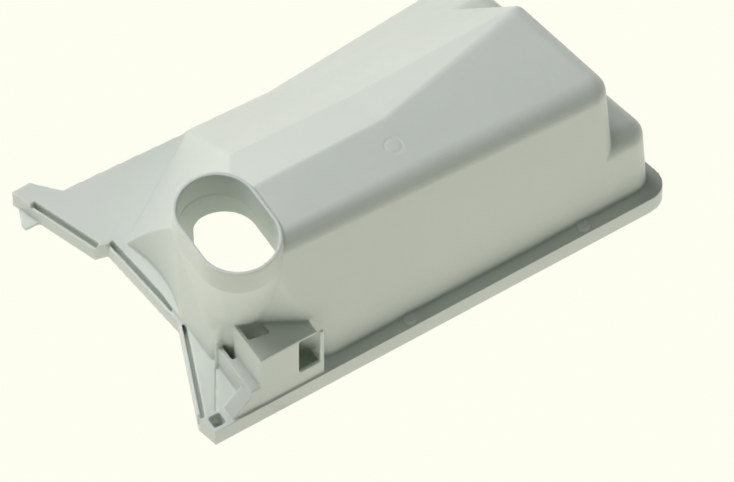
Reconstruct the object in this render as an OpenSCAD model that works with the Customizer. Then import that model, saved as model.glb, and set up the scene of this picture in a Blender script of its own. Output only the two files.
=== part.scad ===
// Lower half of a dispenser housing: a one-piece moulded hopper that
// stands here on its open rim, with the outlet spout pointing up.
// Millimetres, +Z up, +X along the long side. All the points below are
// measured from the front left corner of the rim; the finished solid is
// moved so that its bounding box is centred over the origin.

/* [Moulding] */
// Thickness of the hopper walls and of the ledge
wall = 2.2; // [1.8:0.1:2.4]
// Radius on the long edge between the front wall and the top
edge_r = 10; // [7:0.5:11]
// Radius on the softer creases
crease_r = 4.5; // [3.5:0.5:5]

/* [Rim] */
// Height of the rim, from the table to the top of the ledge
rim_h = 11; // [10:0.5:12]
// Height of the thin rib that stands outside the left groove
rib_h = 8.7; // [7:0.1:9]
// Thickness of that rib
rib_t = 1.5; // [1.2:0.1:1.8]
// Width of the groove behind the rib
groove_w = 1.7; // [1.4:0.1:1.9]
// Radius of the front right corner of the rim
corner_r = 10.1; // [8:0.1:12]

/* [Spout] */
// Height of the spout rim over the table
spout_top = 120.5; // [119.5:0.5:122]
// Outer radius of the round ends
spout_r = 20.3; // [20:0.1:20.8]
// Half the straight length between the round ends
spout_half = 8.9; // [8.5:0.1:9.5]
// Thickness of the spout wall
spout_wall = 1.9; // [1.6:0.1:2.2]
// Height of the upright collar, before the spout narrows and leans to the body
collar_h = 15.5; // [14:0.5:17]
// Depth of the spout's inner wall below its rim
tube_h = 32; // [28:0.5:34]

/* [Bracket] */
// Height of the bracket plate over the table
plate_z = 48.3; // [46:0.1:50]
// Thickness of the bracket plates
plate_t = 1.8; // [1.6:0.1:2]

/* [Hidden] */
eps = 0.01;

// Whole outline is centred over the origin by this shift
shift = [-117.55, -80.5, 0];

// ---------- vector helpers ----------
// Plane through three points, its normal pointing away from c
function plane3(p, q, r, c) =
    let (n = cross(q - p, r - p), u = n / norm(n), s = (u * (c - p) > 0) ? -1 : 1)
    [s * u, s * (u * p)];
// Point at depths i, j and k inside the planes P, Q and R
function meet(P, Q, R, i, j, k) =
    let (a = P[0], b = Q[0], c = R[0], d = a * cross(b, c))
    ((P[1] - i) * cross(b, c) + (Q[1] - j) * cross(c, a) + (R[1] - k) * cross(a, b)) / d;
// Unit normal to the left of the step from p to q
function left_n(p, q) = let (d = q - p) [-d[1], d[0]] / norm(d);
// Closed outline moved inwards by w
function inset(p, w) = let (m = len(p)) [for (i = [0 : m - 1])
    let (n1 = left_n(p[(i + m - 1) % m], p[i]), n2 = left_n(p[i], p[(i + 1) % m]))
    p[i] + w * (n1 + n2) / (1 + n1 * n2)];
// Open path moved to its left by w
function shift_path(p, w) = let (m = len(p)) [for (i = [0 : m - 1])
    let (n1 = left_n(p[max(i - 1, 0)], p[max(i, 1)]),
         n2 = left_n(p[min(i, m - 2)], p[min(i + 1, m - 1)]))
    p[i] + w * (n1 + n2) / (1 + n1 * n2)];
function rev(p) = [for (i = [len(p) - 1 : -1 : 0]) p[i]];
// Open path carried on by d at both ends
function longer(p, d) = let (m = len(p), u = p[0] - p[1], v = p[m - 1] - p[m - 2])
    [for (i = [0 : m - 1]) i == 0 ? p[0] + d * u / norm(u) : i == m - 1 ? p[i] + d * v / norm(v) : p[i]];

// ---------- faces of the hollow body ----------
mid = [110, 40, 40];
fold_x = 120.5;                    // the back faces fold along this section
floor_z = -22;                     // the faces are carried on down to here
A  = plane3([0, 6.9, 11], [200, 6.9, 11], [100, 10.1, 115], mid);            // front wall
B  = plane3([50, 44, 118.9], [120.5, 46.5, 113.2], [50, 20, 118.9], mid);    // top
C  = plane3([120.5, 79.1, 87.9], [120.5, 46.5, 113.2], [50, 44, 118.9], mid);// band, left
D  = plane3([120.5, 79.1, 87.9], [120.5, 144, 11], [12, 149.5, 11], mid);    // back slope, left
G  = plane3([18.5, 108.4, 11], [80, 149, 11], [24.4, 87.5, 47], mid);        // slope at the left end
F  = plane3([19.5, 110, 11], [19.5, 60, 11], [24, 80, 100], mid);            // left end
H  = plane3([66.6, 6.9, 11], [37.3, 9.9, 102], [20.2, 34, 11], mid);         // corner behind the spout
C2 = plane3([120.5, 79.1, 87.9], [120.5, 46.5, 113.2], [200.1, 67.6, 106.3], mid);  // band, right
D2 = plane3([120.5, 79.1, 87.9], [120.5, 144, 11], [199.2, 149.5, 11], mid); // back slope, right
W  = plane3([228.2, 6.9, 11], [222.6, 12, 105], [197.7, 149.5, 11], mid);    // right end
X  = [[1, 0, 0], fold_x];
Z0 = [[0, 0, -1], -floor_z];
// the low shoulder on the right end
T  = [[0, 0, 1], 56];
W2 = plane3([244.9, 6.9, 11], [241.9, 12, 60], [214.4, 149.5, 11], mid);
W3 = plane3([210, 6.9, 11], [210, 12, 60], [179.5, 149.5, 11], [250, 60, 30]);

er = edge_r;
cr = crease_r;
right_r = 9;
// centre and radius of the balls that each convex half is wrapped round
fold_balls = [
    [meet(A, B, X, er, er, 0), er], [meet(B, C, X, cr, cr, 0), cr],
    [meet(C, D, X, cr, cr, 0), cr], [meet(D, Z0, X, cr, cr, 0), cr],
    [meet(A, Z0, X, er, er, 0), er]];
left_balls = [
    [meet(A, B, H, er, er, er), er], [meet(B, F, H, cr, cr, cr), cr],
    [meet(B, G, F, cr, cr, cr), cr], [meet(B, C, G, cr, cr, cr), cr],
    [meet(C, D, G, cr, cr, cr), cr], [meet(D, G, Z0, cr, cr, cr), cr],
    [meet(G, F, Z0, cr, cr, cr), cr], [meet(F, H, Z0, cr, cr, cr), cr],
    [meet(A, H, Z0, er, er, er), er]];
right_balls = [
    [meet(A, B, W, er, er, er), er], [meet(B, C2, W, right_r, right_r, right_r), right_r],
    [meet(C2, D2, W, cr, cr, cr), cr], [meet(D2, W, Z0, cr, cr, cr), cr],
    [meet(A, W, Z0, right_r, right_r, right_r), right_r]];
shoulder_r = 9.5;
shoulder_balls = [
    [meet(A, T, W2, shoulder_r + 0.06, shoulder_r, shoulder_r), shoulder_r],
    [meet(A, T, W3, shoulder_r + 0.06, shoulder_r, shoulder_r), shoulder_r],
    [meet(D2, T, W2, shoulder_r + 0.06, shoulder_r, shoulder_r), shoulder_r],
    [meet(D2, T, W3, shoulder_r + 0.06, shoulder_r, shoulder_r), shoulder_r],
    [meet(A, Z0, W2, shoulder_r + 0.06, shoulder_r, shoulder_r), shoulder_r],
    [meet(A, Z0, W3, shoulder_r + 0.06, shoulder_r, shoulder_r), shoulder_r],
    [meet(D2, Z0, W2, shoulder_r + 0.06, shoulder_r, shoulder_r), shoulder_r],
    [meet(D2, Z0, W3, shoulder_r + 0.06, shoulder_r, shoulder_r), shoulder_r]];

// ---------- rim outline, anticlockwise ----------
corner_c = [247.6 - corner_r, corner_r];
end_turn = 12.1;                   // the right end is slanted by this angle
right_start = corner_c + corner_r * [cos(end_turn), sin(end_turn)];
right_len = 150.2 - right_start[1];
outline = concat(
    [[0, 0]],
    [for (i = [0 : 9]) let (t = -90 + (90 + end_turn) * i / 9)
        corner_c + corner_r * [cos(t), sin(t)]],
    [[right_start[0] - right_len * tan(end_turn), 150.2],
     [199.2, 149.5], [119.1, 144], [10.6, 149.5], [0.2, 161], [-9.7, 161],
     [-6.3, 150], [6.5, 114.8], [12.6, 113], [17.9, 60.3], [-2.3, 11]]);
// the two stretches of the left side that carry the thin rib
rib_back = [[-6.3, 150], [6.5, 114.8]];
rib_front = [[12.6, 113], [17.9, 60.3], [-2.3, 11]];
skirt_t = 2.2;

module wrap(balls, inside) {
    hull() for (b = balls) translate(b[0]) sphere(r = b[1] - inside, $fn = 32);
}

// both convex halves of the body and the shoulder, solid
module body_form(inside) {
    wrap(concat(left_balls, fold_balls), inside);
    wrap(concat([for (b = fold_balls) [b[0] - [1, 0, 0], b[1] - 0.04]], right_balls), inside);
    wrap(shoulder_balls, inside);
}

module above(z) {
    translate([-40, -40, z]) cube([340, 260, 160]);
}

module strip(path, w0, w1) {
    polygon(concat(shift_path(path, w0), rev(shift_path(path, w1))));
}

module obround(r, half) {
    translate([0, -half]) circle(r = r, $fn = 64);
    translate([0, half]) circle(r = r, $fn = 64);
    translate([-r, -half]) square([2 * r, 2 * half]);
}

spout_c = [28, 32.6];
// centres of the round pipe that the spout narrows to, at two heights
pipe_a = [38.4, 39.5, 50];
pipe_b = [45, 38.5, 4];
pipe_r = 20.4;

// round bar between two points, r0 at p and r1 at q
module bar(p, q, r0, r1, fn = 64) {
    d = q - p;
    translate(p) rotate([0, acos(d[2] / norm(d)), atan2(d[1], d[0])])
        cylinder(r1 = r0, r2 = r1, h = norm(d), $fn = fn);
}

// outer form of the spout
module spout_outer() {
    z = spout_top - collar_h;
    translate([spout_c[0], spout_c[1], z]) linear_extrude(collar_h) obround(spout_r, spout_half);
    // smooth change from the obround collar to the round pipe
    hull() {
        translate([spout_c[0], spout_c[1] - spout_half, z]) cylinder(r = spout_r - 0.05, h = 0.5, $fn = 64);
        translate([spout_c[0], spout_c[1] + spout_half, z]) cylinder(r = spout_r - 0.05, h = 0.5, $fn = 64);
        translate(pipe_a) cylinder(r = pipe_r, h = 0.5, $fn = 64);
    }
    bar(pipe_a + (pipe_a - pipe_b) * 0.15, pipe_b, pipe_r - 0.15, pipe_r - 0.15);
}

// passage of the spout, grown by w all round
module spout_way(w, top) {
    z = spout_top - collar_h;
    r = spout_r - spout_wall + w;
    sc = [(17 + w) / (r - 0.35), (17.6 + w) / (r - 0.35 + spout_half)];
    c = [(pipe_a[0] - spout_c[0]) / (sc[0] - 1), (pipe_a[1] - spout_c[1]) / (sc[1] - 1)];
    translate([spout_c[0], spout_c[1], z - 0.6]) linear_extrude(collar_h + 0.6 + top) obround(r, spout_half);
    // the taper is scaled about a point to one side, so that it leans as it narrows
    translate([spout_c[0] - c[0], spout_c[1] - c[1], z]) mirror([0, 0, 1])
        linear_extrude(z - pipe_a[2], scale = sc, slices = 1) translate(c) obround(r - 0.35, spout_half);
    bar(pipe_a + [0, 0, 2], pipe_b - [0, 0, 6], 17.4 + w, 17.8 + w);
}

// rim, ledge, groove and the small features on the ledge
module rim_solid() {
    difference() {
        union() {
            difference() {
                linear_extrude(rim_h) polygon(outline);
                translate([0, 0, -1]) linear_extrude(rim_h - wall + 1) polygon(inset(outline, skirt_t));
            }
            // thicker wall behind the left groove
            for (p = [rib_back, rib_front])
                linear_extrude(rim_h - 1) intersection() {
                    strip(longer(p, 2), 0, 5);
                    polygon(outline);
                }
            // block that holds the square pocket
            linear_extrude(rim_h - 1) polygon([[1, 1], [9.1, 1], [9.1, 10.2], [3, 10.2], [0.5, 6]]);
            // ear at table level
            linear_extrude(2) polygon([[-5.5, 158], [-8.6, 157], [-12.5, 147.8], [-11.8, 145.4], [-4, 144.9]]);
        }
        for (p = [rib_back, rib_front]) {
            translate([0, 0, 3.5]) linear_extrude(rim_h) strip(longer(p, 0.5), rib_t, rib_t + groove_w);
            translate([0, 0, rib_h]) linear_extrude(rim_h) strip(longer(p, 0.3), -1, rib_t + 0.4);
        }
        // gap between the front end of the rib and the corner
        translate([-4, 10.6, 2]) cube([5.4, 2.6, rim_h]);
        // square pocket in the corner of the ledge
        translate([1.3, 2.2, 1.8]) cube([6, 6, rim_h]);
        // narrow channel across the ledge
        translate([0, 0, rim_h - 1.2]) linear_extrude(3) strip([[6.4, 9.2], [19.6, 30]], -0.7, 0.7);
    }
    // two rounded stops on the front ledge
    for (x = [107.6, 202.4])
        translate([x, 4.2, rim_h - 1]) cylinder(r = 2.9, h = 2.4, $fn = 48);
}

// plates in front of the spout
module bracket() {
    z1 = plate_z - plate_t;
    // top plate, with its slot beside the spout
    translate([0, 0, z1]) linear_extrude(plate_t)
        polygon([[25.3, 1.15], [55.7, 1.15], [55.7, 9], [54.4, 10], [52, 13.8], [46, 17], [37.3, 20.5],
                 [37.3, 12], [27.1, 14.2], [27.1, 24], [25.3, 24]]);
    // fin at the left
    translate([25.3, 1.15, rim_h - 1]) cube([plate_t, 23, plate_z - rim_h + 1]);
    // low rib beside the fin and its end post
    translate([20.2, 1.4, rim_h - 1]) cube([2.4, 30.4, 25.8 - rim_h + 1]);
    translate([20.2, 1.4, 24]) cube([5.2, 20, 1.8]);
    translate([19.2, 29.6, rim_h - 1]) cube([3.4, 1.8, 20.4]);
    // front plate with its window
    difference() {
        translate([25.3, 1.15, rim_h - 1]) cube([34.4, plate_t, plate_z - rim_h + 1]);
        translate([46.2, 0, 21.2]) cube([11.2, 5, 25.3]);
        translate([55.7, 0, 45.5]) cube([10, 5, 5]);
    }
    // low foot that ties the right edge of the window to the wall
    translate([57.9, 1.5, rim_h - 1]) cube([1.8, 8.5, 9]);
    // wedge that props the fin
    translate([0, 9.7, 0]) rotate([90, 0, 0]) linear_extrude(8.4)
        polygon([[9.7, rim_h - 0.5], [26, rim_h - 0.5], [26, 24.6], [23, 24.6]]);
}

module hopper() {
    color([0.87, 0.89, 0.86])
    translate(shift)
    difference() {
        union() {
            rim_solid();
            difference() {
                intersection() {
                    union() { body_form(0); }
                    above(rim_h - wall);
                }
                // hollowed left end, an upright arc
                intersection() {
                    translate([-39.6, 85.1, rim_h]) cylinder(r = 64, h = 130, $fn = 180);
                    translate([-10, 20, rim_h]) cube([60, 90.9, 130]);
                }
            }
            intersection() {
                spout_outer();
                above(rim_h - wall);
            }
            bracket();
        }
        // cavity
        difference() {
            intersection() {
                union() { body_form(wall); }
                above(rim_h - wall - 0.5);
            }
            // wall left behind the hollowed end
            intersection() {
                translate([-39.6, 85.1, 0]) cylinder(r = 64 + wall, h = 140, $fn = 180);
                translate([-10, 20, 0]) cube([62, 90.9 + wall, 140]);
            }
            // inner wall of the spout, which hangs into the cavity
            intersection() {
                spout_way(spout_wall - 0.05, -0.7);
                above(spout_top - tube_h);
            }
        }
        // passage of the spout
        spout_way(0, 5);
        // shallow round mark on the top
        translate([115.9, 31.6, 113.57]) rotate([0, 4.68, 0]) translate([0, 0, -0.3])
            difference() { cylinder(r = 4.7, h = 3, $fn = 64); translate([0, 0, -1]) cylinder(r = 3.5, h = 5, $fn = 64); }
    }
}

hopper();
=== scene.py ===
import math

import bmesh
import bpy
from mathutils import Matrix, Vector


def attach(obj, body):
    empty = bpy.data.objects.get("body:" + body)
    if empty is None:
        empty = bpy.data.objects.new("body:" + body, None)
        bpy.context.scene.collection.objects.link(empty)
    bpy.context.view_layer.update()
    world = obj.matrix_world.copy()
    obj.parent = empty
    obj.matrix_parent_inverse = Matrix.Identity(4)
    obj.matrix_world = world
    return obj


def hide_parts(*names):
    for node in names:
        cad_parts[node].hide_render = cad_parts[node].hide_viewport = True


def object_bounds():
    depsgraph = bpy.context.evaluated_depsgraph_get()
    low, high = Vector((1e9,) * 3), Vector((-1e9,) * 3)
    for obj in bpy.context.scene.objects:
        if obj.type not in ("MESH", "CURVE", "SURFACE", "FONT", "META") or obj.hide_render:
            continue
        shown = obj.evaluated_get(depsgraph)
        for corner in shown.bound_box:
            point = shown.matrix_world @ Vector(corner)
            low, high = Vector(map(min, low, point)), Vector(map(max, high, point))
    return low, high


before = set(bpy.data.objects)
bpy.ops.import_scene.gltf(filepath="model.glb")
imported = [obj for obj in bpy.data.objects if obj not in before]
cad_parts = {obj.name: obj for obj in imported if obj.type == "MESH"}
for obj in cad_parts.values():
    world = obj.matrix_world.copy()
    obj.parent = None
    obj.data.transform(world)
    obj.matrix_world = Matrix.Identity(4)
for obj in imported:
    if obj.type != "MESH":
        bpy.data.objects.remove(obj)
cad_lo, cad_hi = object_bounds()
scene = bpy.context.scene

# ------------------------------------------------------------------ camera
AZ, EL = math.radians(-32.4), math.radians(57.0)
MM_PER_PX = 0.46                      # at the object
LENS = 700.0
DIST = LENS / 36.0 * 734 * MM_PER_PX / 1000.0
back = Vector((math.sin(AZ) * math.cos(EL), -math.cos(AZ) * math.cos(EL), math.sin(EL)))
look_at = Vector((0.0003, -0.0237, 0.0))
cam_data = bpy.data.cameras.new("camera")
cam_data.lens = LENS
cam_data.sensor_width = 36.0
cam_data.clip_start = 0.1
cam_data.clip_end = 40.0
cam = bpy.data.objects.new("camera", cam_data)
scene.collection.objects.link(cam)
cam.location = look_at + back * DIST
cam.rotation_mode = "QUATERNION"
cam.rotation_quaternion = (-back).to_track_quat("-Z", "Y")
scene.camera = cam


# ---------------------------------------------------------------- material
def moulded_plastic(name, low, high, grain=0.03):
    m = bpy.data.materials.new(name)
    m.use_nodes = True
    nt = m.node_tree
    nt.nodes.clear()
    out = nt.nodes.new("ShaderNodeOutputMaterial")
    bsdf = nt.nodes.new("ShaderNodeBsdfPrincipled")
    nt.links.new(bsdf.outputs["BSDF"], out.inputs["Surface"])
    tex = nt.nodes.new("ShaderNodeTexCoord")

    # slow drift of the shade, as the wall thickness and the resin vary
    drift = nt.nodes.new("ShaderNodeTexNoise")
    drift.inputs["Scale"].default_value = 9.0
    drift.inputs["Detail"].default_value = 4.0
    drift.inputs["Roughness"].default_value = 0.55
    nt.links.new(tex.outputs["Object"], drift.inputs["Vector"])
    ramp = nt.nodes.new("ShaderNodeValToRGB")
    ramp.color_ramp.elements[0].position = 0.3
    ramp.color_ramp.elements[0].color = (*low, 1.0)
    ramp.color_ramp.elements[1].position = 0.7
    ramp.color_ramp.elements[1].color = (*high, 1.0)
    nt.links.new(drift.outputs["Fac"], ramp.inputs["Fac"])
    nt.links.new(ramp.outputs["Color"], bsdf.inputs["Base Color"])

    # roughness: satin, with faint smears from handling
    smear = nt.nodes.new("ShaderNodeTexNoise")
    smear.inputs["Scale"].default_value = 38.0
    smear.inputs["Detail"].default_value = 6.0
    smear.inputs["Distortion"].default_value = 0.6
    nt.links.new(tex.outputs["Object"], smear.inputs["Vector"])
    rough = nt.nodes.new("ShaderNodeMapRange")
    rough.inputs["From Min"].default_value = 0.3
    rough.inputs["From Max"].default_value = 0.7
    rough.inputs["To Min"].default_value = 0.36
    rough.inputs["To Max"].default_value = 0.47
    nt.links.new(smear.outputs["Fac"], rough.inputs["Value"])
    nt.links.new(rough.outputs["Result"], bsdf.inputs["Roughness"])

    # fine tool grain and the slow sink of a thin moulding
    fine = nt.nodes.new("ShaderNodeTexNoise")
    fine.inputs["Scale"].default_value = 1900.0
    fine.inputs["Detail"].default_value = 2.0
    nt.links.new(tex.outputs["Object"], fine.inputs["Vector"])
    sink = nt.nodes.new("ShaderNodeTexNoise")
    sink.inputs["Scale"].default_value = 28.0
    sink.inputs["Detail"].default_value = 2.0
    nt.links.new(tex.outputs["Object"], sink.inputs["Vector"])
    b1 = nt.nodes.new("ShaderNodeBump")
    b1.inputs["Strength"].default_value = 0.25
    b1.inputs["Distance"].default_value = 0.0011
    nt.links.new(sink.outputs["Fac"], b1.inputs["Height"])
    b2 = nt.nodes.new("ShaderNodeBump")
    b2.inputs["Strength"].default_value = grain
    b2.inputs["Distance"].default_value = 0.0002
    nt.links.new(fine.outputs["Fac"], b2.inputs["Height"])
    nt.links.new(b1.outputs["Normal"], b2.inputs["Normal"])
    nt.links.new(b2.outputs["Normal"], bsdf.inputs["Normal"])

    bsdf.inputs["Specular IOR Level"].default_value = 0.42
    bsdf.inputs["IOR"].default_value = 1.49
    bsdf.inputs["Subsurface Weight"].default_value = 0.75
    bsdf.inputs["Subsurface Radius"].default_value = (1.0, 1.0, 0.9)
    bsdf.inputs["Subsurface Scale"].default_value = 0.0012
    return m


plastic = moulded_plastic("moulded_plastic", (0.765, 0.805, 0.760), (0.805, 0.845, 0.800))


# ---------------------------------------------------- moulded surface piece
VOXEL = 0.0005
TRIS = 186000


def applied(obj):
    dg = bpy.context.evaluated_depsgraph_get()
    me = bpy.data.meshes.new_from_object(obj.evaluated_get(dg))
    obj.modifiers.clear()
    old = obj.data
    obj.data = me
    bpy.data.meshes.remove(old)


def moulded_copy(node, name):
    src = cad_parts[node]
    me = src.data.copy()
    me.materials.clear()
    obj = bpy.data.objects.new(name, me)
    scene.collection.objects.link(obj)
    bm = bmesh.new()
    bm.from_mesh(me)
    bmesh.ops.remove_doubles(bm, verts=bm.verts, dist=1e-6)
    bm.to_mesh(me)
    bm.free()
    rem = obj.modifiers.new("remesh", "REMESH")
    rem.mode = "VOXEL"
    rem.voxel_size = VOXEL
    rem.adaptivity = 0.0
    applied(obj)
    sm = obj.modifiers.new("smooth", "SMOOTH")
    sm.factor = 0.5
    sm.iterations = 4
    applied(obj)
    tris = sum(len(p.vertices) - 2 for p in obj.data.polygons)
    if tris > TRIS:
        dec = obj.modifiers.new("decimate", "DECIMATE")
        dec.decimate_type = "COLLAPSE"
        dec.ratio = TRIS / tris
        dec.use_collapse_triangulate = True
        applied(obj)
    # keep inside the box of the CAD solid
    for v in obj.data.vertices:
        v.co = [min(max(c, a), b) for c, a, b in zip(v.co, cad_lo, cad_hi)]
    for p in obj.data.polygons:
        p.use_smooth = True
    obj.data.materials.append(plastic)
    print("moulded", name, "tris", tris, "->", len(obj.data.polygons))
    return obj


body = moulded_copy("hopper", "hopper_moulding")
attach(body, "root")
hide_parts("hopper")


# ------------------------------------------------------------------- stage
def plane(name, size, loc, normal=(0, 0, 1)):
    bm = bmesh.new()
    bmesh.ops.create_grid(bm, x_segments=1, y_segments=1, size=size / 2)
    me = bpy.data.meshes.new(name)
    bm.to_mesh(me)
    bm.free()
    o = bpy.data.objects.new(name, me)
    scene.collection.objects.link(o)
    o.rotation_mode = "QUATERNION"
    o.rotation_quaternion = Vector(normal).to_track_quat("Z", "Y")
    o.location = loc
    return o


floor = plane("floor", 14.0, (0, 0, -0.0002))
fm = bpy.data.materials.new("floor_pale")
fm.use_nodes = True
nt = fm.node_tree
nt.nodes.clear()
out = nt.nodes.new("ShaderNodeOutputMaterial")
em = nt.nodes.new("ShaderNodeEmission")
em.inputs["Color"].default_value = (0.985, 0.99, 0.875, 1.0)
em.inputs["Strength"].default_value = 1.0
nt.links.new(em.outputs[0], out.inputs["Surface"])
floor.data.materials.append(fm)

# ------------------------------------------------------------------- light
world = bpy.data.worlds.new("world")
scene.world = world
world.use_nodes = True
bg = world.node_tree.nodes["Background"]
bg.inputs["Color"].default_value = (0.95, 1.0, 0.98, 1.0)
bg.inputs["Strength"].default_value = 0.12


def area(name, loc, target, size, power):
    d = bpy.data.lights.new(name, "AREA")
    d.shape = "SQUARE"
    d.size = size
    d.energy = power
    o = bpy.data.objects.new(name, d)
    scene.collection.objects.link(o)
    o.location = loc
    o.rotation_mode = "QUATERNION"
    o.rotation_quaternion = (Vector(target) - Vector(loc)).to_track_quat("-Z", "Y")
    o.visible_camera = False
    return o


area("key_soft", (-0.45, 0.72, 1.5), (0, 0, 0.05), 1.1, 19.0)

scene.view_settings.view_transform = "Standard"
scene.view_settings.look = "None"
